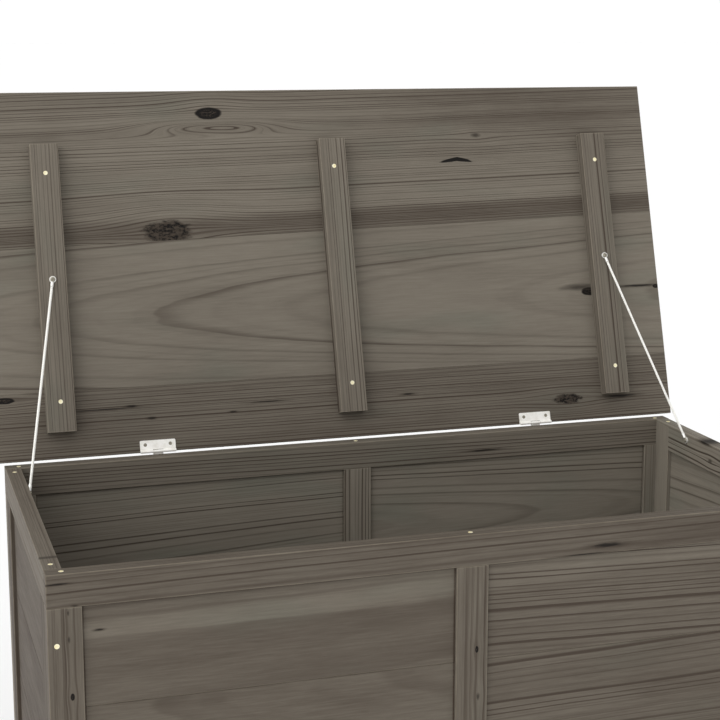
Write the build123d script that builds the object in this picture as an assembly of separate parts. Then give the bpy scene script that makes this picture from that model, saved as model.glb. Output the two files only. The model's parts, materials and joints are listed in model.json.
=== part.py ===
"""Hinged-lid wooden storage chest: framed plank panels, a boarded lid on two butt hinges and two cord stays.

Millimetres. +Z is up, the front of the chest faces -Y, and the lid stands open against its stays.
The origin is on the floor, at the centre of the open chest's bounding box.
"""
from build123d import *
import math
import os

# Driving dimensions of the chest's body
BOX_WIDTH = 970
BOX_DEPTH = 468
RIM_HEIGHT = 548
FRAME_THICKNESS = 20
RAIL_HEIGHT = 38
STILE_WIDTH = 38
CENTRE_STILE_WIDTH = 39
FOOT_HEIGHT = 8
PLANK_ROWS = 4
PLANK_THICKNESS = 10
GROOVE_DEPTH = 6
TONGUE_THICKNESS = 3.4
TONGUE_HEIGHT = 4.6
TONGUE_CLEARANCE = 0.1
PLANK_CHAMFER = 1.0
FRAME_ROUND = 0.8
LAP_THICKNESS = 10
LAP_COVER = 3

# Floor of the chest
FLOOR_THICKNESS = 12
FLOOR_BOARD_COUNT = 8
FLOOR_END_GAP = 1
CLEAT_SIZE = 18
CLEAT_LOW = 14

# Lid, measured along its depth from its hinged edge
LID_WIDTH = 1000
LID_DEPTH = 503
LID_THICKNESS = 15
LID_OPEN_ANGLE = 106.5
LID_ROUND = 1.8
REAR_BOARD_DEPTH = 90
JOINT_AT_LEFT = 285
JOINT_AT_RIGHT = 308
LID_JOINT_CHAMFER = 0.5
LID_END_CHAMFER = 0.8
BATTEN_WIDTH = 38
BATTEN_THICKNESS = 18
BATTEN_START = 35
BATTEN_END = 427
BATTEN_FROM_END = 77.5

# Hinges: the pin line is set from the top rear edge of the body
PIN_BACK = -1.0
PIN_UP = 4.4
PIN_RADIUS = 1.0
BORE_CLEARANCE = 0.05
KNUCKLE_RADIUS = 2.1
LEAF_THICKNESS = 1.1
LID_ABOVE_PIN = 2.4
LID_PAST_PIN = 0.6
HINGE_WIDTH = 49
MIDDLE_KNUCKLE = 14
KNUCKLE_GAP = 0.3
LID_LEAF_DEPTH = 16
BOX_LEAF_TOP = -1
BOX_LEAF_BOTTOM = -16
HINGE_FROM_END = 206.5
LEAF_CORNER = 1.8
LEAF_SCREW_SPREAD = 17.3
LID_LEAF_SCREW_AT = 10
BOX_LEAF_SCREW_AT = -9

# Stays: a cord with a ring terminal at each end
CORD_RADIUS = 1.75
RING_RADIUS = 4.5
RING_THICKNESS = 1.6
RING_BORE = 1.75
NECK_RADIUS = 2.2
NECK_START = 3.6
NECK_END = 11
STAY_ALONG_LID = 240.5
STAY_FROM_BACK = 112
STAY_BELOW_RIM = 9.3

# Screws: head radius, head depth, shank radius, length
FRAME_SCREW = (2.9, 2.2, 1.75, 50)
CLEAT_SCREW = (2.9, 2.2, 1.75, 28)
BATTEN_SCREW = (2.9, 2.2, 1.75, 28)
LEAF_SCREW = (2.4, 1.1, 1.3, 12)
SCREW_TIP = 3
STAY_HEAD_RADIUS = 3.2
STAY_HEAD_HEIGHT = 1.9
STAY_HEAD_ROUND = 1.1
STAY_HEAD_CLEARANCE = 0.2
STAY_RECESS_RADIUS = 2.5
STAY_SHANK_RADIUS = 1.75
STAY_SHANK_LENGTH = 15
CORNER_SCREWS_BELOW_RIM = (80, 270, 460)
CORNER_SCREW_INSET = 10
RIM_SCREW_INSET = 18
SIDE_RIM_SCREW_INSET = 37
BATTEN_SCREWS_AT = (75.5, 386.5)
CLEAT_SCREWS_X = (-380, 0, 380)
RECESS_LENGTH = 0.62
RECESS_WIDTH = 0.16
RECESS_DEPTH = 0.7

# How far a cutting block or bore reaches, more than any terminal
CUTTER = 40

# The open lid's rearmost corner fixes how deep the whole open chest is
OPEN = math.radians(LID_OPEN_ANGLE)
FAR_ALONG = LID_DEPTH - LID_PAST_PIN - LID_ROUND
FAR_ABOVE = LID_ABOVE_PIN + LID_THICKNESS - LID_ROUND
LID_REACH = LID_ROUND + FAR_ABOVE * math.sin(OPEN) - FAR_ALONG * math.cos(OPEN)
TOTAL_DEPTH = BOX_DEPTH + PIN_BACK + LID_REACH
FRONT_Y = -TOTAL_DEPTH / 2
BACK_Y = FRONT_Y + BOX_DEPTH
SIDE_X = BOX_WIDTH / 2
PIN_Y = BACK_Y + PIN_BACK
PIN_Z = RIM_HEIGHT + PIN_UP
LID_REAR_Y = PIN_Y + LID_PAST_PIN
LID_LOW_Z = PIN_Z + LID_ABOVE_PIN
PIN_AXIS = Axis((0, PIN_Y, PIN_Z), (1, 0, 0))
RAIL_LOW_Z = RIM_HEIGHT - RAIL_HEIGHT
SILL_HIGH_Z = FOOT_HEIGHT + RAIL_HEIGHT
ROW_HEIGHT = (RAIL_LOW_Z - SILL_HIGH_Z) / PLANK_ROWS
SIDE_FRONT_Y = FRONT_Y + FRAME_THICKNESS
SIDE_BACK_Y = BACK_Y - FRAME_THICKNESS
ROW_NAMES = ("top_row", "upper_row", "lower_row", "bottom_row")

nodes = {}


def block(x0, x1, y0, y1, z0, z1):
    """A box between two corners."""
    box = Box(x1 - x0, y1 - y0, z1 - z0, align=(Align.MIN, Align.MIN, Align.MIN))
    return Pos(x0, y0, z0) * box


def board(corners, along, rounding=FRAME_ROUND):
    """A sawn board whose four long edges are eased."""
    solid = block(*corners)
    return fillet(solid.edges().filter_by(along), rounding)


def cut(shape, tools):
    """The shape less each of the tools."""
    for tool in tools:
        shape = shape - tool
    return shape


def opened(shape):
    """A piece of the closed lid, turned about the hinge pins to where the stays hold it."""
    return shape.rotate(PIN_AXIS, -LID_OPEN_ANGLE)


# ---------------------------------------------------------------- screws

def screw_blank(size, place):
    """A countersunk screw without its drive recess. Its head's face lies at the place, facing out along Z."""
    head_radius, head_depth, shank_radius, length = size
    outline = Polyline(
        (0, 0), (head_radius, 0), (shank_radius, -head_depth), (shank_radius, SCREW_TIP - length), (0, -length),
        close=True,
    )
    return place * revolve(Plane.XZ * make_face(outline), Axis.Z)


def recessed(blank, head_radius, place):
    """The screw with a cross recess sunk into its head."""
    long_side = head_radius * 2 * RECESS_LENGTH
    short_side = head_radius * 2 * RECESS_WIDTH
    for size in ((long_side, short_side), (short_side, long_side)):
        blank = blank - place * Box(*size, 2 * RECESS_DEPTH)
    return blank


def screw_group(name, size, places):
    """Makes one node of equal screws and returns their blanks, which cut their own holes."""
    blanks = [screw_blank(size, place) for place in places]
    nodes[name] = Compound(children=[recessed(b, size[0], p) for b, p in zip(blanks, places)])
    return blanks


def stay_screw(place):
    """A pan-head screw through a ring terminal, as a blank and with its recess.

    The place is the ring's centre on the wood, with its Z out of the wood."""
    head = Pos(0, 0, RING_THICKNESS) * Cylinder(
        STAY_HEAD_RADIUS, STAY_HEAD_HEIGHT, align=(Align.CENTER, Align.CENTER, Align.MIN)
    )
    head = fillet(head.edges().sort_by(Axis.Z)[-1], STAY_HEAD_ROUND)
    shank_length = STAY_SHANK_LENGTH + RING_THICKNESS
    shank = Pos(0, 0, RING_THICKNESS) * Cylinder(
        STAY_SHANK_RADIUS, shank_length, align=(Align.CENTER, Align.CENTER, Align.MAX)
    )
    blank = place * (head + shank)
    top = place * Pos(0, 0, RING_THICKNESS + STAY_HEAD_HEIGHT)
    return blank, recessed(blank, STAY_RECESS_RADIUS, top)


def facing(x, y, z, direction):
    """A place at a point, with its Z along the direction."""
    return Plane(origin=(x, y, z), z_dir=direction).location


# ---------------------------------------------------------------- panels of the body

def bay_slab(wall, start, end):
    """The whole space that one bay's planks fill, tongues in the frame's grooves included.

    A wall is (axis, low face): the axis its rails run along, and where its lower face lies across it."""
    axis, face = wall
    near = face + (FRAME_THICKNESS - PLANK_THICKNESS) / 2
    far = near + PLANK_THICKNESS
    low, high = SILL_HIGH_Z - GROOVE_DEPTH, RAIL_LOW_Z + GROOVE_DEPTH
    if axis == "x":
        return block(start - GROOVE_DEPTH, end + GROOVE_DEPTH, near, far, low, high)
    return block(near, far, start - GROOVE_DEPTH, end + GROOVE_DEPTH, low, high)


def plank_outline(row):
    """A plank's section, thickness across and height up: grooved below, tongued above, with eased edges."""
    half, tip = PLANK_THICKNESS / 2, TONGUE_THICKNESS / 2
    high = RAIL_LOW_Z - row * ROW_HEIGHT
    low = high - ROW_HEIGHT
    if row == 0:
        top = [(half, high + GROOVE_DEPTH), (-half, high + GROOVE_DEPTH)]
    else:
        side = [(half, high - PLANK_CHAMFER), (half - PLANK_CHAMFER, high), (tip, high)]
        side.append((tip, high + TONGUE_HEIGHT))
        top = side + [(-x, z) for x, z in reversed(side)]
    if row == PLANK_ROWS - 1:
        bottom = [(-half, low - GROOVE_DEPTH), (half, low - GROOVE_DEPTH)]
    else:
        slot = tip + TONGUE_CLEARANCE
        roof = low + TONGUE_HEIGHT + TONGUE_CLEARANCE
        side = [(-half, low + PLANK_CHAMFER), (PLANK_CHAMFER - half, low), (-slot, low), (-slot, roof)]
        bottom = side + [(-x, z) for x, z in reversed(side)]
    return top + bottom


def plank(wall, start, end, row):
    """One plank of a bay, held in the grooves at both ends."""
    axis, face = wall
    middle = face + FRAME_THICKNESS / 2
    length = end - start + 2 * GROOVE_DEPTH
    if axis == "x":
        plane = Plane(origin=(start - GROOVE_DEPTH, middle, 0), x_dir=(0, 1, 0), z_dir=(1, 0, 0))
    else:
        plane = Plane(origin=(middle, end + GROOVE_DEPTH, 0), x_dir=(1, 0, 0), z_dir=(0, -1, 0))
    section = make_face(Polyline(*plank_outline(row), close=True))
    return extrude(plane * section, length)


def long_panel(name, face, holes):
    """The front or back panel: rails, sill, three stiles and two bays of planks."""
    y0, y1 = face, face + FRAME_THICKNESS
    inner = SIDE_X - STILE_WIDTH
    half = CENTRE_STILE_WIDTH / 2
    wall = ("x", face)
    bays = [(-inner, -half), (half, inner)]
    tools = [bay_slab(wall, *bay) for bay in bays] + holes
    members = {
        "top_rail": board((-SIDE_X, SIDE_X, y0, y1, RAIL_LOW_Z, RIM_HEIGHT), Axis.X),
        "sill": board((-inner, inner, y0, y1, FOOT_HEIGHT, SILL_HIGH_Z), Axis.X),
        "left_stile": board((-SIDE_X, -inner, y0, y1, 0, RAIL_LOW_Z), Axis.Z),
        "centre_stile": board((-half, half, y0, y1, SILL_HIGH_Z, RAIL_LOW_Z), Axis.Z),
        "right_stile": board((inner, SIDE_X, y0, y1, 0, RAIL_LOW_Z), Axis.Z),
    }
    for member, solid in members.items():
        nodes[f"{name}_{member}"] = cut(solid, tools)
    for row, row_name in enumerate(ROW_NAMES):
        nodes[f"{name}_{row_name}"] = Compound(children=[plank(wall, *bay, row) for bay in bays])


def side_panel(name, side, holes):
    """A side panel between the front and back ones. Its stiles are lapped into its top rail's inner half."""
    face = SIDE_X - FRAME_THICKNESS if side > 0 else -SIDE_X
    x0, x1 = face, face + FRAME_THICKNESS
    inner_low = x0 if side > 0 else x1 - LAP_THICKNESS
    y0, y1 = SIDE_FRONT_Y, SIDE_BACK_Y
    wall = ("y", face)
    bay = (y0 + STILE_WIDTH, y1 - STILE_WIDTH)
    laps = [
        block(inner_low, inner_low + LAP_THICKNESS, y, y + STILE_WIDTH, RAIL_LOW_Z, RIM_HEIGHT - LAP_COVER)
        for y in (y0, bay[1])
    ]
    stiles = [
        board((x0, x1, y, y + STILE_WIDTH, 0, RAIL_LOW_Z), Axis.Z) + lap
        for y, lap in zip((y0, bay[1]), laps)
    ]
    tools = [bay_slab(wall, *bay)] + holes
    members = {
        "top_rail": cut(board((x0, x1, y0, y1, RAIL_LOW_Z, RIM_HEIGHT), Axis.Y), laps),
        "sill": board((x0, x1, *bay, FOOT_HEIGHT, SILL_HIGH_Z), Axis.Y),
        "front_stile": stiles[0],
        "rear_stile": stiles[1],
    }
    for member, solid in members.items():
        nodes[f"{name}_{member}"] = cut(solid, tools)
    for row, row_name in enumerate(ROW_NAMES):
        nodes[f"{name}_{row_name}"] = plank(wall, *bay, row)


def floor(cleat_screws):
    """Two cleats screwed to the sills, and the loose boards that lie across them."""
    length = SIDE_X - FRAME_THICKNESS - FLOOR_END_GAP
    high = CLEAT_LOW + CLEAT_SIZE
    cleats = [
        board((-length, length, y, y + CLEAT_SIZE, CLEAT_LOW, high), Axis.X)
        for y in (SIDE_FRONT_Y, SIDE_BACK_Y - CLEAT_SIZE)
    ]
    nodes["floor_cleats"] = Compound(children=[cut(cleat, cleat_screws) for cleat in cleats])
    pitch = 2 * length / FLOOR_BOARD_COUNT
    y0, y1 = SIDE_FRONT_Y + FLOOR_END_GAP, SIDE_BACK_Y - FLOOR_END_GAP
    boards = [
        board((-length + i * pitch, -length + (i + 1) * pitch, y0, y1, high, high + FLOOR_THICKNESS), Axis.Y)
        for i in range(FLOOR_BOARD_COUNT)
    ]
    nodes["floor_boards"] = Compound(children=boards)


# ---------------------------------------------------------------- lid

def lid_point(x, along, below):
    """A point on the open lid: x, distance from its hinged edge, and distance out of its underside."""
    p = LID_PAST_PIN - along
    q = LID_ABOVE_PIN - below
    y = PIN_Y + p * math.cos(OPEN) + q * math.sin(OPEN)
    z = PIN_Z - p * math.sin(OPEN) + q * math.cos(OPEN)
    return Vector(x, y, z)


def long_lid_edges(solid, near_y=None, within=1):
    """The edges that run the lid's whole width, or only those whose middle is near one Y."""
    edges = [e for e in solid.edges() if e.length > LID_WIDTH / 2]
    return edges if near_y is None else [e for e in edges if abs(e.center().Y - near_y) < within]


def lid_board(rear, front, outer_y):
    """One board of the closed lid.

    Its two long sides are given by their distances from the hinged edge at the left and right ends. The side
    at outer_y, if there is one, is an outer edge of the lid and is rounded."""
    half = LID_WIDTH / 2
    outline = Polyline(
        (-half, LID_REAR_Y - rear[0]), (half, LID_REAR_Y - rear[1]),
        (half, LID_REAR_Y - front[1]), (-half, LID_REAR_Y - front[0]), close=True,
    )
    solid = extrude(Plane.XY.offset(LID_LOW_Z) * make_face(outline), LID_THICKNESS, dir=(0, 0, 1))
    solid = chamfer(solid.edges().filter_by(Axis.Y), LID_END_CHAMFER)
    if outer_y is None:
        return chamfer(long_lid_edges(solid), LID_JOINT_CHAMFER)
    solid = fillet(long_lid_edges(solid, outer_y), LID_ROUND)
    joint_y = LID_REAR_Y - (sum(front) if outer_y == LID_REAR_Y else sum(rear)) / 2
    return chamfer(long_lid_edges(solid, joint_y), LID_JOINT_CHAMFER)


def lid_boards(holes):
    """Three boards glued edge to edge."""
    rear_joint = (REAR_BOARD_DEPTH, REAR_BOARD_DEPTH)
    front_joint = (JOINT_AT_LEFT, JOINT_AT_RIGHT)
    boards = {
        "lid_rear_board": lid_board((0, 0), rear_joint, LID_REAR_Y),
        "lid_middle_board": lid_board(rear_joint, front_joint, None),
        "lid_front_board": lid_board(front_joint, (LID_DEPTH, LID_DEPTH), LID_REAR_Y - LID_DEPTH),
    }
    for name, solid in boards.items():
        nodes[name] = cut(opened(solid), holes)


def battens(holes):
    """Three battens across the underside, short enough to drop inside the rim."""
    for name, x in (("left", BATTEN_FROM_END - SIDE_X), ("centre", 0), ("right", SIDE_X - BATTEN_FROM_END)):
        corners = (
            x - BATTEN_WIDTH / 2, x + BATTEN_WIDTH / 2, LID_REAR_Y - BATTEN_END, LID_REAR_Y - BATTEN_START,
            LID_LOW_Z - BATTEN_THICKNESS, LID_LOW_Z,
        )
        nodes[f"{name}_batten"] = cut(opened(board(corners, Axis.Y)), holes)


# ---------------------------------------------------------------- hinges

def knuckle(x0, x1, bore):
    """A rolled knuckle round the pin line."""
    tube = Cylinder(KNUCKLE_RADIUS, x1 - x0) - Cylinder(bore, x1 - x0)
    return Pos((x0 + x1) / 2, PIN_Y, PIN_Z) * Rot(0, 90, 0) * tube


def lid_leaf(x, screws):
    """The leaf under the lid, with the two outer knuckles."""
    half, inner = HINGE_WIDTH / 2, MIDDLE_KNUCKLE / 2 + KNUCKLE_GAP
    y0 = LID_REAR_Y - LID_LEAF_DEPTH
    plate = block(x - half, x + half, y0, PIN_Y, LID_LOW_Z - LEAF_THICKNESS, LID_LOW_Z)
    plate = fillet(plate.edges().filter_by(Axis.Z).group_by(Axis.Y)[0], LEAF_CORNER)
    reach = KNUCKLE_RADIUS + 2 * KNUCKLE_GAP
    plate = plate - block(x - inner, x + inner, PIN_Y - reach, PIN_Y + reach, PIN_Z, LID_LOW_Z)
    pin_hole = Pos(x, PIN_Y, PIN_Z) * Rot(0, 90, 0) * Cylinder(PIN_RADIUS, HINGE_WIDTH)
    knuckles = knuckle(x - half, x - inner, PIN_RADIUS) + knuckle(x + inner, x + half, PIN_RADIUS)
    leaf = plate + knuckles - pin_hole
    return cut(opened(leaf), screws)


def box_leaf(x, screws):
    """The leaf on the rear face of the back rail, with the middle knuckle above the rim."""
    half, middle = HINGE_WIDTH / 2, MIDDLE_KNUCKLE / 2
    y0, y1 = BACK_Y, BACK_Y + LEAF_THICKNESS
    plate = block(x - half, x + half, y0, y1, RIM_HEIGHT + BOX_LEAF_BOTTOM, RIM_HEIGHT + BOX_LEAF_TOP)
    plate = fillet(plate.edges().filter_by(Axis.Y), LEAF_CORNER)
    tongue = block(x - middle, x + middle, y0, y1, RIM_HEIGHT + BOX_LEAF_TOP - LEAF_CORNER, PIN_Z)
    pin_hole = Pos(x, PIN_Y, PIN_Z) * Rot(0, 90, 0) * Cylinder(PIN_RADIUS + BORE_CLEARANCE, HINGE_WIDTH)
    leaf = plate + tongue + knuckle(x - middle, x + middle, PIN_RADIUS + BORE_CLEARANCE) - pin_hole
    return cut(leaf, screws)


def hinge_pins(centres):
    """The two pins, pressed into the lid leaves' knuckles."""
    pin = Rot(0, 90, 0) * Cylinder(PIN_RADIUS, HINGE_WIDTH)
    nodes["hinge_pins"] = Compound(children=[opened(Pos(x, PIN_Y, PIN_Z) * pin) for x in centres])


# ---------------------------------------------------------------- stays

def terminal(place, lean):
    """A ring with a crimped neck. The place's X points to the cord, which leans that far off the wood."""
    direction = Vector(math.cos(lean), 0, math.sin(lean))
    centre = Vector(0, 0, RING_THICKNESS / 2)
    bottom = (Align.CENTER, Align.CENTER, Align.MIN)
    neck_place = Plane(origin=centre + direction * NECK_START, z_dir=direction).location
    neck = neck_place * Cylinder(NECK_RADIUS, NECK_END - NECK_START, align=bottom)
    ring = Cylinder(RING_RADIUS, RING_THICKNESS, align=bottom)
    space_radius = STAY_HEAD_RADIUS + STAY_HEAD_CLEARANCE
    head_space = Pos(0, 0, RING_THICKNESS) * Cylinder(space_radius, 2 * STAY_HEAD_HEIGHT, align=bottom)
    wood = Box(CUTTER, CUTTER, CUTTER, align=(Align.CENTER, Align.CENTER, Align.MAX))
    bore = Cylinder(RING_BORE, CUTTER)
    return place * (ring + neck - head_space - wood - bore)


def stay(side):
    """One stay's anchors, its cord between the two necks, and its terminals."""
    upper = lid_point(side * (SIDE_X - BATTEN_FROM_END), STAY_ALONG_LID, BATTEN_THICKNESS)
    lower = Vector(side * (SIDE_X - FRAME_THICKNESS), BACK_Y - STAY_FROM_BACK, RIM_HEIGHT - STAY_BELOW_RIM)
    lid_out = Vector(0, -math.sin(OPEN), -math.cos(OPEN))
    wall_out = Vector(-side, 0, 0)
    start = upper + lid_out * (RING_THICKNESS / 2)
    end = lower + wall_out * (RING_THICKNESS / 2)
    run = (end - start).normalized()
    places, leans = [], []
    for point, out, along in ((upper, lid_out, run), (lower, wall_out, -run)):
        rise = along.dot(out)
        places.append(Plane(origin=point, x_dir=along - out * rise, z_dir=out).location)
        leans.append(math.asin(rise))
    length = (end - start).length - 2 * NECK_END
    cord_place = Plane(origin=start + run * NECK_END, z_dir=run).location
    cord = cord_place * Cylinder(CORD_RADIUS, length, align=(Align.CENTER, Align.CENTER, Align.MIN))
    print(f"stay cord: {length:.1f} mm, from {start + run * NECK_END} to {end - run * NECK_END}")
    return cord, places, leans


def stays():
    """Both stays. Returns the screw blanks that enter the lid and those that enter the body."""
    blanks, screws, rings = ([], []), ([], []), ([], [])
    for name, side in (("left", -1), ("right", 1)):
        cord, places, leans = stay(side)
        nodes[f"{name}_stay_cord"] = cord
        for end in (0, 1):
            blank, screw = stay_screw(places[end])
            blanks[end].append(blank)
            screws[end].append(screw)
            rings[end].append(terminal(places[end], leans[end]))
    for end, body in enumerate(("lid", "box")):
        nodes[f"{body}_stay_screws"] = Compound(children=screws[end])
        nodes[f"{body}_stay_rings"] = Compound(children=rings[end])
    return blanks


# ---------------------------------------------------------------- the whole chest

def rim_screw_places():
    """Upright screws in the rim, over the stiles."""
    middle = FRAME_THICKNESS / 2
    x = SIDE_X - RIM_SCREW_INSET
    places = [
        facing(sx, y, RIM_HEIGHT, (0, 0, 1))
        for sx in (-x, 0, x) for y in (FRONT_Y + middle, BACK_Y - middle)
    ]
    for sx in (middle - SIDE_X, SIDE_X - middle):
        for y in (FRONT_Y + SIDE_RIM_SCREW_INSET, BACK_Y - SIDE_RIM_SCREW_INSET):
            places.append(facing(sx, y, RIM_HEIGHT, (0, 0, 1)))
    return places


def corner_screw_places():
    """Level screws through the end stiles into the side panels."""
    x = SIDE_X - CORNER_SCREW_INSET
    return [
        facing(sx, y, RIM_HEIGHT - drop, (0, out, 0))
        for sx in (-x, x) for y, out in ((FRONT_Y, -1), (BACK_Y, 1)) for drop in CORNER_SCREWS_BELOW_RIM
    ]


def cleat_screw_places():
    """Level screws through the cleats into the sills."""
    z = CLEAT_LOW + CLEAT_SIZE / 2
    return [
        facing(x, y, z, (0, out, 0))
        for x in CLEAT_SCREWS_X for y, out in ((SIDE_FRONT_Y + CLEAT_SIZE, 1), (SIDE_BACK_Y - CLEAT_SIZE, -1))
    ]


def build():
    """Every node of the chest."""
    lid_out = (0, -math.sin(OPEN), -math.cos(OPEN))
    hinge_x = (HINGE_FROM_END - SIDE_X, SIDE_X - HINGE_FROM_END)
    screw_x = [x + dx for x in hinge_x for dx in (-LEAF_SCREW_SPREAD, LEAF_SCREW_SPREAD)]
    batten_x = (BATTEN_FROM_END - SIDE_X, 0, SIDE_X - BATTEN_FROM_END)
    rim = screw_group("rim_screws", FRAME_SCREW, rim_screw_places())
    corner = screw_group("corner_screws", FRAME_SCREW, corner_screw_places())
    cleat = screw_group("cleat_screws", CLEAT_SCREW, cleat_screw_places())
    batten = screw_group("batten_screws", BATTEN_SCREW, [
        facing(*lid_point(x, along, BATTEN_THICKNESS), lid_out) for x in batten_x for along in BATTEN_SCREWS_AT
    ])
    lid_leaf_screws = screw_group("lid_leaf_screws", LEAF_SCREW, [
        facing(*lid_point(x, LID_LEAF_SCREW_AT, LEAF_THICKNESS), lid_out) for x in screw_x
    ])
    box_leaf_screws = screw_group("box_leaf_screws", LEAF_SCREW, [
        facing(x, BACK_Y + LEAF_THICKNESS, RIM_HEIGHT + BOX_LEAF_SCREW_AT, (0, 1, 0)) for x in screw_x
    ])
    lid_stay, box_stay = stays()
    long_panel("front", FRONT_Y, rim + corner + cleat)
    long_panel("back", BACK_Y - FRAME_THICKNESS, rim + corner + cleat + box_leaf_screws)
    side_panel("left", -1, rim + corner + box_stay)
    side_panel("right", 1, rim + corner + box_stay)
    floor(cleat)
    lid_boards(batten + lid_leaf_screws)
    battens(batten + lid_stay)
    for name, x in zip(("left", "right"), hinge_x):
        nodes[f"{name}_hinge_lid_leaf"] = lid_leaf(x, lid_leaf_screws)
        nodes[f"{name}_hinge_box_leaf"] = box_leaf(x, box_leaf_screws)
    hinge_pins(hinge_x)


build()
os.makedirs("parts", exist_ok=True)
for node, shape in nodes.items():
    export_step(shape, f"parts/{node}.step")
print(f"pin line at y {PIN_Y:.3f}, z {PIN_Z:.3f}; front {FRONT_Y:.3f}, back {BACK_Y:.3f}; {len(nodes)} nodes")
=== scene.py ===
"""The wooden chest's looks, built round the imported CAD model.

It has stained boards, zinc hinges and screws, and two braided stays."""

import json
import math

import bpy
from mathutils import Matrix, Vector

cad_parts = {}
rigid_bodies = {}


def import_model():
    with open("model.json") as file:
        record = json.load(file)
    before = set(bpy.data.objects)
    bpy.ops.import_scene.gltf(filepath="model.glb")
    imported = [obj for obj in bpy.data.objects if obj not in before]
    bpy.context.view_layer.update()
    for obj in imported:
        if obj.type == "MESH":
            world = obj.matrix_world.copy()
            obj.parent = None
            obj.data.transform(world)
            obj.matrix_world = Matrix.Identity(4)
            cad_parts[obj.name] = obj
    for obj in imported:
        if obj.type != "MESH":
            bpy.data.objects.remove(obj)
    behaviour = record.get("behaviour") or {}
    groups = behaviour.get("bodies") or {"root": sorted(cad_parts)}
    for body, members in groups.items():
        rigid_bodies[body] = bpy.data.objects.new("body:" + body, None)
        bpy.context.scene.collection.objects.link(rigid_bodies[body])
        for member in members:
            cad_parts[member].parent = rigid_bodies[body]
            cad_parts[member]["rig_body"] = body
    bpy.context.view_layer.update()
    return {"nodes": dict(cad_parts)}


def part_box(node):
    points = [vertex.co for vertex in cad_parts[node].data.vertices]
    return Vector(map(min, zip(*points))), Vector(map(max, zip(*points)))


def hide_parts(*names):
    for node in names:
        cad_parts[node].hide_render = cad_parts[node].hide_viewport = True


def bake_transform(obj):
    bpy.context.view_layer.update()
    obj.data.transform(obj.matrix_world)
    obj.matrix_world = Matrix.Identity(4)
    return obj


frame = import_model()

# The open lid: its pin line, its angle, and how far its underside's rear edge lies from the pin
PIN_Y = 0.154032
PIN_Z = 0.5524
OPEN = math.radians(106.5)
LID_PAST_PIN = 0.0006
LID_ABOVE_PIN = 0.0024

# The stays' routes, from the ring on the lid to the ring on the side rail
STAY_TOP = (0.40956, 0.200504, 0.778052)
STAY_FOOT = (0.46214, 0.048971, 0.547727)

CAMERA_PLACE = (-0.6571, -1.9879, 1.1122)
CAMERA_YAW = 17.28
CAMERA_PITCH = 10.09
CAMERA_LENS = 81.5
CAMERA_SHIFT = -0.05
FLOOR_HALF = 200


def link(name, data):
    made = bpy.data.objects.new(name, data)
    bpy.context.scene.collection.objects.link(made)
    return made


# ------------------------------------------------------------------ camera and light

def camera():
    data = bpy.data.cameras.new("camera")
    data.lens = CAMERA_LENS
    data.shift_y = CAMERA_SHIFT
    made = link("camera", data)
    made.location = CAMERA_PLACE
    made.rotation_euler = (math.radians(90 - CAMERA_PITCH), 0, math.radians(-CAMERA_YAW))
    bpy.context.scene.camera = made


KEY_DIRECTION = Vector((-0.78, -0.36, 0.52)).normalized()
EVEN_LIGHT = 0.67
KEY_LIGHT = 1.05
SUN_LIGHT = 0.50
SUN_ANGLE = 50


def studio():
    """Soft light from all round, strongest from the front left above, and a white background."""
    world = bpy.data.worlds.new("studio")
    world.use_nodes = True
    tree = world.node_tree
    coordinates = tree.nodes.new("ShaderNodeTexCoord")
    facing = tree.nodes.new("ShaderNodeVectorMath")
    facing.operation = "DOT_PRODUCT"
    facing.inputs[1].default_value = KEY_DIRECTION
    tree.links.new(coordinates.outputs["Generated"], facing.inputs[0])
    towards = Num(facing.outputs["Value"]).math("MAXIMUM", 0.0)
    around = tree.nodes["Background"]
    plug(around.inputs["Strength"], towards * towards * KEY_LIGHT + EVEN_LIGHT)
    around.inputs["Color"].default_value = (1, 1, 1, 1)
    behind = tree.nodes.new("ShaderNodeBackground")
    behind.inputs["Strength"].default_value = 1.02
    behind.inputs["Color"].default_value = (1, 1, 1, 1)
    ray = tree.nodes.new("ShaderNodeLightPath")
    either = tree.nodes.new("ShaderNodeMixShader")
    tree.links.new(ray.outputs["Is Camera Ray"], either.inputs[0])
    tree.links.new(around.outputs[0], either.inputs[1])
    tree.links.new(behind.outputs[0], either.inputs[2])
    tree.links.new(either.outputs[0], tree.nodes["World Output"].inputs["Surface"])
    sun = bpy.data.lights.new("sun", "SUN")
    sun.energy = SUN_LIGHT
    sun.angle = math.radians(SUN_ANGLE)
    lamp = link("sun", sun)
    lamp.rotation_mode = "QUATERNION"
    lamp.rotation_quaternion = KEY_DIRECTION.to_track_quat("Z", "Y")
    scene = bpy.context.scene
    scene.world = world
    scene.view_settings.view_transform = "Standard"
    scene.view_settings.look = "None"


def floor():
    """A plain pale floor."""
    mesh = bpy.data.meshes.new("floor")
    corners = [(x * FLOOR_HALF, y * FLOOR_HALF, 0) for x, y in ((-1, -1), (1, -1), (1, 1), (-1, 1))]
    mesh.from_pydata(corners, [], [(0, 1, 2, 3)])
    made = link("floor", mesh)
    material, tree, shader = blank_material("floor_paint")
    shader.inputs["Base Color"].default_value = (0.97, 0.97, 0.97, 1)
    shader.inputs["Roughness"].default_value = 0.9
    shader.inputs["Specular IOR Level"].default_value = 0.1
    mesh.materials.append(material)


# ------------------------------------------------------------------ node arithmetic

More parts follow.
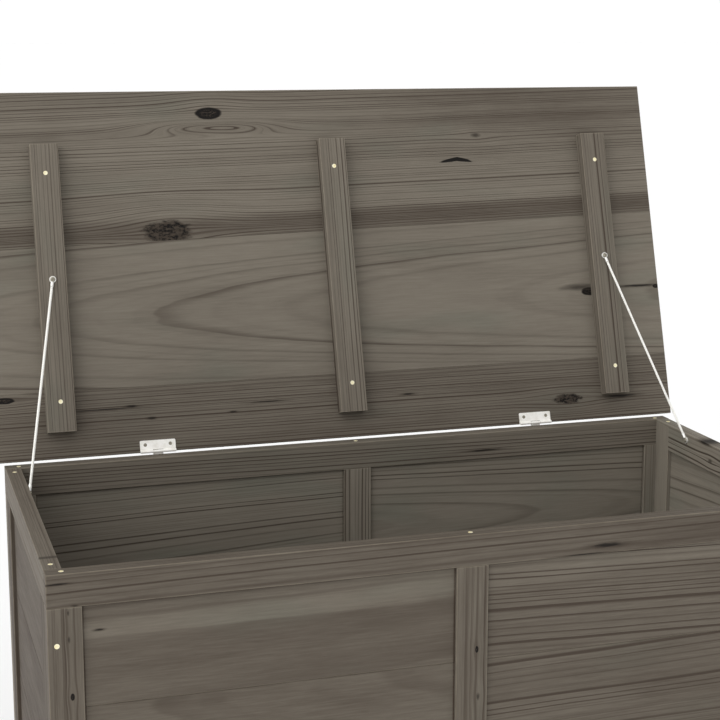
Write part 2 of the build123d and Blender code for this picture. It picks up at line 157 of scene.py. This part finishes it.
class Num:
    """A number in a material's node tree. Arithmetic on it adds Math nodes."""

    def __init__(self, socket):
        self.socket = socket
        self.tree = socket.id_data

    def math(self, operation, *others):
        node = self.tree.nodes.new("ShaderNodeMath")
        node.operation = operation
        for socket, value in zip(node.inputs, (self, *others)):
            plug(socket, value)
        return Num(node.outputs[0])

    def __add__(self, other):
        return self.math("ADD", other)

    def __sub__(self, other):
        return self.math("SUBTRACT", other)

    def __mul__(self, other):
        return self.math("MULTIPLY", other)

    def __truediv__(self, other):
        return self.math("DIVIDE", other)

    def __rsub__(self, other):
        return self * -1 + other

    __radd__ = __add__
    __rmul__ = __mul__

    def size(self):
        return self.math("ABSOLUTE")

    def root(self):
        return self.math("SQRT")


def plug(socket, value):
    """Gives a socket a number, or links it to one in the tree."""
    if isinstance(value, Num):
        value.tree.links.new(value.socket, socket)
    else:
        socket.default_value = value


def rise(value, low, high):
    """0 up to low, 1 from high on, and a smooth step between. With high below low, it falls instead."""
    node = value.tree.nodes.new("ShaderNodeMapRange")
    node.interpolation_type = "SMOOTHSTEP"
    falls = high < low
    plug(node.inputs["Value"], value)
    plug(node.inputs["From Min"], min(low, high))
    plug(node.inputs["From Max"], max(low, high))
    plug(node.inputs["To Min"], 1.0 if falls else 0.0)
    plug(node.inputs["To Max"], 0.0 if falls else 1.0)
    return Num(node.outputs["Result"])


def noise(x, y, z, detail=2.0, roughness=0.5):
    """Smooth noise between 0 and 1, with about one wave to a unit."""
    tree = x.tree
    place = tree.nodes.new("ShaderNodeCombineXYZ")
    for socket, value in zip(place.inputs, (x, y, z)):
        plug(socket, value)
    node = tree.nodes.new("ShaderNodeTexNoise")
    node.inputs["Scale"].default_value = 1
    node.inputs["Detail"].default_value = detail
    node.inputs["Roughness"].default_value = roughness
    tree.links.new(place.outputs[0], node.inputs["Vector"])
    return Num(node.outputs[0])


def noise_along(x, detail=1.0):
    """The same along a line."""
    node = x.tree.nodes.new("ShaderNodeTexNoise")
    node.noise_dimensions = "1D"
    node.inputs["Scale"].default_value = 1
    node.inputs["Detail"].default_value = detail
    plug(node.inputs["W"], x)
    return Num(node.outputs[0])


def chance(x):
    """A random number between 0 and 1 that is the same only where x is."""
    node = x.tree.nodes.new("ShaderNodeTexWhiteNoise")
    node.noise_dimensions = "1D"
    plug(node.inputs["W"], x)
    return Num(node.outputs["Value"])


def linear(colour):
    """An sRGB colour, 0 to 255, as a linear one with alpha."""
    shares = [c / 255 for c in colour]
    return (*[s / 12.92 if s <= 0.04045 else ((s + 0.055) / 1.055) ** 2.4 for s in shares], 1)


def tint(tree, share, first, second):
    """A colour between two, or beyond them where the share is. Each is an sRGB colour or a socket."""
    node = tree.nodes.new("ShaderNodeMix")
    node.data_type = "RGBA"
    node.clamp_factor = False
    plug(node.inputs["Factor"], share)
    for socket, colour in zip([s for s in node.inputs if s.type == "RGBA"], (first, second)):
        if isinstance(colour, tuple):
            socket.default_value = linear(colour)
        else:
            tree.links.new(colour, socket)
    return next(s for s in node.outputs if s.type == "RGBA")


def blank_material(name):
    """A material with its tree and its main shader."""
    material = bpy.data.materials.new(name)
    material.use_nodes = True
    return material, material.node_tree, material.node_tree.nodes["Principled BSDF"]


def bump(tree, shader, height, depth):
    """Relief of that depth, in metres, from a height between 0 and 1."""
    node = tree.nodes.new("ShaderNodeBump")
    node.inputs["Distance"].default_value = depth
    plug(node.inputs["Height"], height)
    tree.links.new(node.outputs[0], shader.inputs["Normal"])


def group(name, inputs, outputs, make):
    """A node group. make gets its inputs as numbers, by name, and returns its outputs in order."""
    tree = bpy.data.node_groups.new(name, "ShaderNodeTree")
    for label in inputs:
        tree.interface.new_socket(label, in_out="INPUT", socket_type="NodeSocketFloat")
    for label in outputs:
        tree.interface.new_socket(label, in_out="OUTPUT", socket_type="NodeSocketFloat")
    start = tree.nodes.new("NodeGroupInput")
    end = tree.nodes.new("NodeGroupOutput")
    values = make(*[Num(start.outputs[label]) for label in inputs])
    for label, value in zip(outputs, values):
        plug(end.inputs[label], value)
    return tree


def use(tree, made, *values):
    """Adds a group to a tree and returns its outputs."""
    node = tree.nodes.new("ShaderNodeGroup")
    node.node_tree = made
    for socket, value in zip(node.inputs, values):
        plug(socket, value)
    return [Num(socket) for socket in node.outputs]


# ------------------------------------------------------------------ wood

def grain(u, v, w, seed, pith_v, pith_w, tilt_v, tilt_w, spacing, wave):
    """Growth rings round a pith line that leans, in millimetres.

    u runs along the board, v across it and w through it. Gives the dark late wood of each ring, fine
    streaks, slow shade and slow hue, each from 0 to 1."""
    far = seed * 37.7
    wander = noise(u / 420, v / 70 + far, w / 70, 1.0)
    side = v + (wander - 0.5) * wave - (tilt_v * u + pith_v)
    depth = tilt_w * u + pith_w - w
    radius = (side * side + depth * depth).root()
    jitter = noise(u / 160 + far, v / 16, w / 16, 1.0)
    ring = radius / spacing + (jitter - 0.5) * 0.22
    ring = ring + (noise_along(ring * 0.31 + far) - 0.5) * 2.0
    cell = ring.math("FLOOR")
    part = ring.math("FRACT")
    strength = chance(cell + far)
    late = rise(part, 0.66, 0.92) * rise(part, 1.0, 0.94)
    patch = noise(u / 110, v / 16 + far, w / 16, 2.0)
    crisp = rise(side.size() / radius, 0.02, 0.40) * 0.45 + 0.55
    line = late * (strength * strength * 1.1 + 0.2) * (patch * 0.9 + 0.4)
    fine = rise(noise_along(ring * 2.7 + far, 2.0), 0.50, 0.72)
    line = (line + fine * (0.08 + patch * 0.22)) * crisp
    streak = noise(u / 55, v / 2.8 + far, w / 2.8, 4.0, 0.72)
    shade = noise(u / 300, v / 42 + far, w / 42, 2.0)
    shade = shade * 0.8 + noise_along(ring * 0.45 + far, 1.0) * 0.2
    hue = noise(u / 160 + far, v / 60, w / 60, 1.0)
    return line, streak, shade, hue


def blemish(u, v, at_u, at_v, half_u, half_v, peak, ragged):
    """A knot or a crack: an ellipse with ragged sides, raised to a peak in the middle if asked.

    Gives the distance from its middle, 1 at its outline, the push that it gives to the grain round it,
    and a swelling that is 1 in its middle."""
    du = u - at_u
    dv = v - at_v + peak * du.size()
    across_u = du / half_u
    across_v = dv / half_v
    rough = noise(du / (half_u * 0.5 + 2), dv / (half_v * 0.4 + 1), at_u, 2.0)
    squared = across_u * across_u + across_v * across_v
    reach = squared.root() + (rough - 0.5) * ragged
    wide = across_u * across_u * 0.12 + across_v * across_v * 0.16
    push = (wide * -1).math("EXPONENT")
    return reach, push * dv, (squared * -1).math("EXPONENT")


def wear(u, v, w, low_u, high_u, low_v, high_v, low_w, high_w):
    """How near a point is to the board's edges, 0 to 1: rubbed stain, and a painted highlight along them."""
    near = []
    for value, low, high in ((u, low_u, high_u), (v, low_v, high_v), (w, low_w, high_w)):
        inside = (value - low).math("MINIMUM", high - value)
        near.append(rise(inside, 1.7, 0.3))
    pairs = near[0] * near[1] + near[1] * near[2] + near[2] * near[0]
    return [pairs.math("MINIMUM", 1.0) * noise(u / 14, v / 14, w / 14, 3.0)]


GRAIN_INPUTS = ("u", "v", "w", "seed", "pith_v", "pith_w", "tilt_v", "tilt_w", "spacing", "wave")
GRAIN = group("grain", GRAIN_INPUTS, ("line", "streak", "shade", "hue"), grain)
BLEMISH_INPUTS = ("u", "v", "at_u", "at_v", "half_u", "half_v", "peak", "ragged")
BLEMISH = group("blemish", BLEMISH_INPUTS, ("reach", "push", "swell"), blemish)
WEAR_AND_HIGHLIGHT_INPUTS = ("u", "v", "w", "low_u", "high_u", "low_v", "high_v", "low_w", "high_w")
WEAR_AND_HIGHLIGHT = group("wear", WEAR_AND_HIGHLIGHT_INPUTS, ("wear",), wear)

PALE = (119, 112, 101)
GREENISH = (106, 106, 95)
DARK_LINE = (70, 61, 53)
SHADED = (84, 76, 67)
KNOT_BLACK = (20, 17, 15)
KNOT_BROWN = (62, 54, 46)
# The edges' lighter colour: rubbed stain and a painted edge highlight together
WORN_AND_LIT_EDGE = (150, 141, 124)
# For each kind of mark: how ragged it is, and the distances from its middle where it starts and is full
MARKS = {
    "knot": (0.25, 1.12, 0.85),
    "flaky": (1.0, 1.2, 0.8),
    "faint": (0.6, 1.0, 0.1),
    "crack": (0.9, 1.25, 0.4),
    "peak": (0.5, 1.05, 0.8),
    "eye": (0.0, 1.0, 0.0),
    "dusk": (0.0, 1.0, 0.0),
}


def object_place(tree):
    """Object coordinates as x, y and z, in metres."""
    coordinates = tree.nodes.new("ShaderNodeTexCoord")
    split = tree.nodes.new("ShaderNodeSeparateXYZ")
    tree.links.new(coordinates.outputs["Object"], split.inputs[0])
    return [Num(socket) for socket in split.outputs]


def board_place(tree, body):
    """The place in millimetres as (x, y, z), or on the lid as (x, distance along it, distance below it)."""
    x, y, z = [value * 1000 for value in object_place(tree)]
    if body == "box":
        return x, y, z
    dy = y - PIN_Y * 1000
    dz = z - PIN_Z * 1000
    along = LID_PAST_PIN * 1000 - (dy * math.cos(OPEN) - dz * math.sin(OPEN))
    below = LID_ABOVE_PIN * 1000 - (dy * math.sin(OPEN) + dz * math.cos(OPEN))
    return x, along, below


def marked(tree, kind, u, v, place, half):
    """What one mark adds: near black, knot brown and shade, from 0 to 1, and how far it moves the grain."""
    ragged, start, full = MARKS[kind]
    peak = 0.16 if kind == "peak" else 0.0
    values = [float(value) for value in (*place, *half, peak, ragged)]
    reach, push, swell = use(tree, BLEMISH, u, v, *values)
    if kind == "eye":
        return {"move": swell * (half[1] * 2.4)}
    if kind == "dusk":
        return {"shade": swell * 0.55}
    here = rise(reach, start, full)
    if kind == "knot":
        specks = rise(noise(u / 4.0, v / 2.0, 0.0, 3.0, 0.7), 0.60, 0.48)
        black = here * rise(reach, 0.35, 0.75).math("MAXIMUM", specks)
        return {"black": black, "brown": here, "move": push * 0.72}
    if kind == "flaky":
        flakes = rise(noise(u / 9.0, v / 5.5, 0.0, 5.0, 0.8), 0.53, 0.44)
        return {"black": here * flakes, "brown": here * 0.9, "move": push * 0.72}
    if kind == "faint":
        return {"black": here * 0.45, "brown": here * 0.6, "move": push * 0.5}
    if kind == "crack":
        return {"black": here * 0.85, "brown": rise(reach, 2.2, 0.8) * 0.6}
    return {"black": here}


def wood(name, seed, bounds, body="box", along="x", face="y", middle=None, pith=(0, 60), tilt=(0, 0),
         spacing=6.0, wave=8.0, lines=1.0, shade=0.0, marks=(), bands=(), halves=None, strips=None, bay=None,
         under=None):
    """A stained board's material.

    bounds are the board's low and high corners in millimetres. along and face name the axis that the
    grain follows and the one through the board. pith is where the rings' centre lies, across from the
    board's middle and through the board, and tilt how it leans along it. A mark is (kind, (along, across),
    (half length, half width)), and a band (across, half width, darkness). Where boards left and right of
    the middle share the material, halves is how far the right one's rings lie to the side. Where boards lie
    side by side, strips is (start, width) along x. Shade is painted in where the frame shades the recessed
    board: along it between bay's (middle, nearest, farthest), and across it at under."""
    material, tree, shader = blank_material(name)
    across = next(axis for axis in "xyz" if axis not in (along, face))
    place = dict(zip("xyz", board_place(tree, body)))
    edges = dict(zip("xyz", zip(*bounds)))
    u, v, w = place[along], place[across], place[face]
    ends = [float(value) for axis in (along, across, face) for value in edges[axis]]
    worn_and_lit = use(tree, WEAR_AND_HIGHLIGHT, u, v, w, *ends)[0]
    source_u, source_v = u, v
    made_marks = [marked(tree, kind, u, v, at, half) for kind, at, half in marks]
    for mark in made_marks:
        if "move" in mark:
            v = v - mark["move"]
    v = v - (sum(edges[across]) / 2 if middle is None else middle)
    seeds = float(seed)
    if halves is not None:
        right = place["x"].math("GREATER_THAN", 0.0)
        u = u * (right * -2 + 1)
        v = v + right * halves
        seeds = right * 7.3 + seed
    if strips:
        start, width = strips
        number = ((place["x"] - start) / width).math("FLOOR")
        v = place["x"] - start - (number + 0.5) * width + (chance(number + seed) - 0.5) * 120
        u = u + chance(number + seed + 0.5) * 2000
        seeds = number * 3.1 + seed
    numbers = [float(value) for value in (*pith, *tilt, spacing, wave)]
    line, streak, slow, hue = use(tree, GRAIN, u, v, w, seeds, *numbers)
    # shade darkens the whole board; on the body's boards it carries painted light and shade for their side
    shading = rise(slow, 0.40, 0.75) * 0.3 + (streak - 0.5) * 1.0 + shade
    for at_v, half_v, darkness in bands:
        offset = (source_v - source_u * tilt[0] - at_v) / half_v
        here = (offset * offset * offset * offset * -1).math("EXPONENT")
        shading = shading + here * darkness
        line = line * (here * (max(darkness, 0.0) * 4) + 1)
    for mark in made_marks:
        if "shade" in mark:
            shading = shading + mark["shade"]
    # Painted shade: darker within a few millimetres of the stiles and frame that the recessed planks sit
    # behind
    if bay:
        off_middle = (source_u - bay[0]).size()
        shading = shading + rise((off_middle - bay[1]).math("MINIMUM", bay[2] - off_middle), 3.0, 0.2) * 0.9
    # Painted shade: a dark line along the edge where the rail above or below overhangs the recessed row
    if under:
        shading = shading + rise((source_v - under).size(), 3.0, 0.2) * 0.9
    dark = (line * (1.25 * lines)).math("MINIMUM", 1.0)
    colour = tint(tree, rise(hue, 0.52, 0.8) * 0.5, PALE, GREENISH)
    colour = tint(tree, shading.math("MAXIMUM", -0.8).math("MINIMUM", 1.5), colour, SHADED)
    colour = tint(tree, dark, colour, DARK_LINE)
    # Lighter edges: stain rubbed thin there, and a painted highlight along them
    colour = tint(tree, worn_and_lit * 0.5, colour, WORN_AND_LIT_EDGE)
    height = streak * 0.45 - dark * 0.6
    for mark in made_marks:
        if "brown" in mark:
            colour = tint(tree, mark["brown"], colour, KNOT_BROWN)
        if "black" in mark:
            colour = tint(tree, mark["black"], colour, KNOT_BLACK)
            height = height - mark["black"] * 1.2
    tree.links.new(colour, shader.inputs["Base Color"])
    plug(shader.inputs["Roughness"], (streak - 0.5) * 0.12 + dark * 0.08 + 0.66)
    shader.inputs["Specular IOR Level"].default_value = 0.16
    bump(tree, shader, height, 0.00022)
    return material


# ------------------------------------------------------------------ metal and cord

def metal(name, light, dull, metallic, roughness, scale):
    """Plated steel, with clouded and scratched places."""
    material, tree, shader = blank_material(name)
    x, y, z = [value * (1000 / scale) for value in object_place(tree)]
    cloud = noise(x, y, z, 4.0, 0.6)
    scratch = noise(x * 0.7, y * 9, z * 9, 2.0)
    tree.links.new(tint(tree, rise(cloud, 0.35, 0.7), light, dull), shader.inputs["Base Color"])
    shader.inputs["Metallic"].default_value = metallic
    plug(shader.inputs["Roughness"], (cloud - 0.5) * 0.3 + (scratch - 0.5) * 0.2 + roughness)
    bump(tree, shader, cloud * 0.6 + scratch * 0.4, 0.00004)
    return material


def cord_material():
    material, tree, shader = blank_material("braided_cord")
    x, y, z = [value * 1000 for value in object_place(tree)]
    fuzz = noise(x * 3, y * 3, z * 3, 3.0, 0.7)
    soil = noise(x / 30, y / 30, z / 30, 2.0)
    colour = tint(tree, rise(soil, 0.5, 0.75) * 0.35, (255, 254, 249), (238, 235, 226))
    tree.links.new(tint(tree, fuzz * 0.2, colour, (228, 225, 217)), shader.inputs["Base Color"])
    shader.inputs["Roughness"].default_value = 0.75
    shader.inputs["Sheen Weight"].default_value = 0.2
    bump(tree, shader, fuzz, 0.00012)
    return material


def route_points(start, end):
    """The straight route's own centre line, from its spline, and where its points lie."""
    curve = bpy.data.curves.new("route", "CURVE")
    curve.dimensions = "3D"
    curve.resolution_u = 48
    spline = curve.splines.new("NURBS")
    spline.points.add(3)
    for index, point in enumerate(spline.points):
        point.co = (*Vector(start).lerp(Vector(end), index / 3), 1)
    spline.order_u = 3
    spline.use_endpoint_u = True
    holder = link("route", curve)
    bpy.context.view_layer.update()
    mesh = bpy.data.meshes.new_from_object(holder.evaluated_get(bpy.context.evaluated_depsgraph_get()))
    points = [vertex.co.copy() for vertex in mesh.vertices]
    bpy.data.objects.remove(holder)
    bpy.data.meshes.remove(mesh)
    return points


# The braid: strands each way round the core, turns over the whole cord, and steps along it to a turn
BRAID_STRANDS = 4
BRAID_TURNS = 22
BRAID_STEPS = 16
STRAND_SIDES = 6
STRAND_WIDTH = 0.00072
STRAND_HEIGHT = 0.00030
BRAID_RADIUS = 0.00133
BRAID_WEAVE = 0.00014
CORE_RADIUS = 0.00125


def tube(frames, radius_u, radius_v, vertices, faces):
    """Sweeps an ellipse along frames of (centre, side, out)."""
    first = len(vertices)
    for centre, side, out in frames:
        for k in range(STRAND_SIDES):
            turn = 2 * math.pi * k / STRAND_SIDES
            vertices.append(centre + side * (radius_u * math.cos(turn)) + out * (radius_v * math.sin(turn)))
    rings = len(frames)
    for i in range(rings - 1):
        for k in range(STRAND_SIDES):
            a = first + i * STRAND_SIDES + k
            b = first + i * STRAND_SIDES + (k + 1) % STRAND_SIDES
            faces.append((a, b, b + STRAND_SIDES, a + STRAND_SIDES))
    faces.append(tuple(first + k for k in reversed(range(STRAND_SIDES))))
    last = first + (rings - 1) * STRAND_SIDES
    faces.append(tuple(last + k for k in range(STRAND_SIDES)))


def stay(name, side):
    """A braided cord between a stay's two rings."""
    start = Vector((STAY_TOP[0] * side, *STAY_TOP[1:]))
    end = Vector((STAY_FOOT[0] * side, *STAY_FOOT[1:]))
    line = route_points(start, end)
    run = (line[-1] - line[0]).normalized()
    across = run.cross(Vector((1, 0, 0))).normalized()
    over = run.cross(across)
    vertices, faces = [], []
    steps = BRAID_TURNS * BRAID_STEPS
    core = [(line[0].lerp(line[-1], i / 40), across, over) for i in range(41)]
    tube(core, CORE_RADIUS, CORE_RADIUS, vertices, faces)
    for way in (1, -1):
        for strand in range(BRAID_STRANDS):
            frames = []
            for i in range(steps + 1):
                turn = 2 * math.pi * (way * i / BRAID_STEPS + (strand + 0.25 * (1 - way)) / BRAID_STRANDS)
                out = across * math.cos(turn) + over * math.sin(turn)
                lap = math.cos(2 * math.pi * i / BRAID_STEPS * BRAID_STRANDS) * way
                centre = line[0].lerp(line[-1], i / steps) + out * (BRAID_RADIUS + BRAID_WEAVE * lap)
                frames.append((centre, (run.cross(out) + run * (0.6 * way)).normalized(), out))
            tube(frames, STRAND_WIDTH, STRAND_HEIGHT, vertices, faces)
    mesh = bpy.data.meshes.new(name)
    mesh.from_pydata(vertices, [], faces)
    mesh.shade_smooth()
    mesh.materials.append(CORD)
    made = link(name, mesh)
    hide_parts(f"{name}_cord")
    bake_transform(made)


# ------------------------------------------------------------------ boards

# What sets each of the lid's boards apart. Places on the lid are x, and the distance from the hinged edge.
LID_BOARDS = {
    "lid_front_board": dict(
        bounds=((-500, 100, -15), (500, 503, 0)), middle=400, seed=3, pith=(500, 60), tilt=(0.023, 0),
        spacing=4.3, wave=6, bands=[(311, 15, 0.72), (452, 11, 0.25), (490, 22, 0.15)],
        marks=[
            ("eye", (-167, 452), (92, 12)),
            ("knot", (-173, 470), (19, 8.5)),
            ("flaky", (-243, 303), (32, 15)),
            ("faint", (227, 431), (11, 5)),
            ("peak", (194, 396), (27, 3)),
            ("dusk", (340, 470), (240, 60)),
        ]),
    "lid_middle_board": dict(
        bounds=((-500, -400, -15), (500, 900, 0)), middle=187, seed=5, pith=(0, 136), tilt=(0, -0.0374),
        spacing=8.5, wave=5, lines=0.65,
        marks=[
            ("knot", (386, 190), (13, 6)),
            ("crack", (467, 195), (30, 1.6)),
            ("knot", (496, 193), (5, 3)),
            ("faint", (372, 197), (46, 7)),
        ]),
    "lid_rear_board": dict(
        bounds=((-500, 0, -15), (500, 300, 0)), middle=45, seed=9, pith=(-320, 40), spacing=4.2, wave=5,
        lines=1.8, shade=0.42,
        marks=[
            ("knot", (-480, 82), (14, 4)),
            ("flaky", (334, 32), (22, 7)),
            ("crack", (418, 31), (24, 1.8)),
            ("crack", (-350, 62), (40, 0.8)),
            ("crack", (-311, 64), (8, 1.4)),
            ("crack", (-284, 46), (6, 1.6)),
            ("crack", (-170, 47), (5, 1.2)),
            ("crack", (-120, 58), (22, 0.9)),
            ("crack", (87, 55), (9, 1.3)),
        ]),
}
# The battens' middles along x, half width, reach from the hinged edge and thickness, in millimetres
BATTEN_X = {"left_batten": -407.5, "centre_batten": 0, "right_batten": 407.5}
BATTEN_HALF = 19
BATTEN_REACH = (35, 427)
BATTEN_THICKNESS = 18
BATTENS = {
    "left_batten": dict(seed=11, pith=(-95, 20), spacing=4.6, lines=1.1, wave=4, shade=0.15),
    "centre_batten": dict(seed=12, pith=(80, 25), spacing=4.6, lines=1.0, wave=4, shade=0.05),
    "right_batten": dict(seed=13, pith=(70, -30), spacing=4.4, lines=1.1, wave=4, shade=0.25),
}
# What sets the body's boards apart, where it isn't left to the board's number
# Their shade values also paint in light and shade for the side each board faces
BOARDS = {
    "front_top_rail": dict(
        seed=21, pith=(-190, 40), tilt=(0.01, 0), spacing=3.6, wave=4, lines=1.2, shade=0.7,
        marks=[
            ("crack", (-473, 537), (13, 1.1)),
            ("crack", (170, 519.5), (20, 2.6)),
            ("crack", (140, 511), (28, 0.7)),
            ("faint", (-455, 511.5), (6, 2)),
        ]),
    "front_top_row": dict(
        seed=23, pith=(-18, 62), tilt=(0.035, 0.004), spacing=4.4, wave=4, halves=200,
        bands=[(490, 14, -0.35)], lines=1.5, shade=0.62,
        marks=[("crack", (-429, 480), (5, 1.2))]),
    "front_upper_row": dict(
        seed=25, pith=(50, 70), tilt=(0.01, -0.02), spacing=5, wave=6, halves=-220, lines=1.3, shade=0.6),
    "front_left_stile": dict(
        seed=27, pith=(-150, 20), spacing=4.4, lines=2.2, wave=4, shade=0.45,
        marks=[
            ("knot", (409, -460), (4, 2.2)),
            ("faint", (474, -462), (5, 2)),
            ("faint", (504, -462), (4, 1.6)),
        ]),
    "front_centre_stile": dict(
        seed=28, pith=(130, 20), spacing=4.4, lines=2.0, wave=4, shade=0.45,
        marks=[("knot", (409, 6), (4, 2)), ("faint", (351, 8), (6, 3))]),
    "right_top_rail": dict(
        seed=31, pith=(150, 30), spacing=3.8, wave=5, shade=-0.45,
        marks=[("faint", (-26, 525), (8, 4)), ("crack", (-8, 547), (14, 2.2))]),
    "back_top_rail": dict(
        seed=33, pith=(160, -30), tilt=(-0.008, 0), spacing=3.8, wave=5, shade=0.2,
        marks=[("crack", (190, 522), (23, 1.4))]),
    "left_top_rail": dict(
        seed=35, pith=(-140, 30), spacing=4, wave=5, shade=0.45,
        marks=[("faint", (-252, 549), (7, 4))]),
}
# How deep the planks' ends lie in the frame, and half the centre stile's width, in millimetres
GROOVE_DEPTH = 6
CENTRE_STILE_HALF = 19.5
# Where the floor's first board starts along x, and one board's width, in millimetres
FLOOR_STRIPS = (-464, 116)
# The inner limit of a bay without a centre stile, nearer than any point of it
NO_STILE = -1000
# Painted light and shade for each side: front and left darker, back and right insides lighter, as light
# falls
SIDE_PAINTED_LIGHT = {"front": 0.52, "back": -0.3, "left": 1.0, "right": -0.45, "floor": 0.0}


def lid_wood(name):
    """The material of one of the lid's boards or battens."""
    if name in LID_BOARDS:
        return wood(f"{name}_wood", body="lid", along="x", face="z", **LID_BOARDS[name])
    x = BATTEN_X[name]
    near, far = BATTEN_REACH
    bounds = ((x - BATTEN_HALF, near, 0), (x + BATTEN_HALF, far, BATTEN_THICKNESS))
    return wood(f"{name}_wood", bounds=bounds, body="lid", along="y", face="z", **BATTENS[name])


def axis_at(axis):
    """An axis's place in a point."""
    return "xyz".index(axis)


def box_wood(name, number):
    """The material of one of the body's wooden nodes, its axes taken from the node's own size."""
    low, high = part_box(name)
    bounds = ([value * 1000 for value in low], [value * 1000 for value in high])
    sizes = {axis: end - start for axis, start, end in zip("xyz", *bounds)}
    face = min(sizes, key=sizes.get)
    along = max(sizes, key=sizes.get)
    side = name.split("_")[0]
    narrow = name.endswith(("rail", "sill", "stile"))
    settings = dict(seed=40 + number, shade=SIDE_PAINTED_LIGHT[side], spacing=3.6 + (number * 7 % 5) * 0.4, wave=5)
    if narrow:
        settings.update(pith=(-230 + (number * 137) % 460, 20 + (number * 29) % 40), lines=1.3)
    else:
        settings.update(pith=(-110 + (number * 67) % 220, 30 + (number * 29) % 60),
                        tilt=(0, 0.015 * ((number % 4) - 1.5)))
    # Painted shade where the stiles and rails shade a row's recessed planks
    if name.endswith("row"):
        start, end = (corner[axis_at(along)] for corner in bounds)
        farthest = (end - start) / 2 - GROOVE_DEPTH
        settings["bay"] = ((start + end) / 2, NO_STILE, farthest)
        if face == "y":
            settings["halves"] = -60 + (number * 53) % 120
            settings["bay"] = (0, CENTRE_STILE_HALF, farthest)
    if name.endswith("top_row"):
        settings["under"] = bounds[1][2] - GROOVE_DEPTH
    if name.endswith("bottom_row"):
        settings["under"] = bounds[0][2] + GROOVE_DEPTH
    if name == "floor_boards":
        along, face = "y", "z"
        settings["strips"] = FLOOR_STRIPS
    if name == "floor_cleats":
        face = "z"
    settings.update(BOARDS.get(name, {}))
    return wood(f"{name}_wood", bounds=bounds, along=along, face=face, **settings)


# ------------------------------------------------------------------ the scene

camera()
studio()
floor()
CORD = cord_material()
DULL_ZINC = metal("dull_zinc", (170, 165, 150), (120, 114, 100), 0.5, 0.45, 3)
ZINC = metal("zinc", (253, 251, 246), (238, 235, 227), 0.25, 0.40, 9)
YELLOW_ZINC = metal("yellow_zinc", (255, 250, 222), (244, 230, 178), 0.25, 0.36, 3)
TERMINAL = metal("terminal", (248, 247, 242), (226, 224, 218), 0.5, 0.36, 6)
for number, (name, node) in enumerate(sorted(frame["nodes"].items())):
    if "ring" in name:
        finish = TERMINAL
    elif "hinge" in name:
        finish = ZINC
    elif "leaf_screws" in name or "stay_screws" in name:
        finish = DULL_ZINC
    elif "screws" in name:
        finish = YELLOW_ZINC
    elif "cord" in name:
        continue
    elif node["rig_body"] == "lid":
        finish = lid_wood(name)
    else:
        finish = box_wood(name, number)
    for slot in node.material_slots:
        slot.material = finish
stay("left_stay", -1)
stay("right_stay", 1)
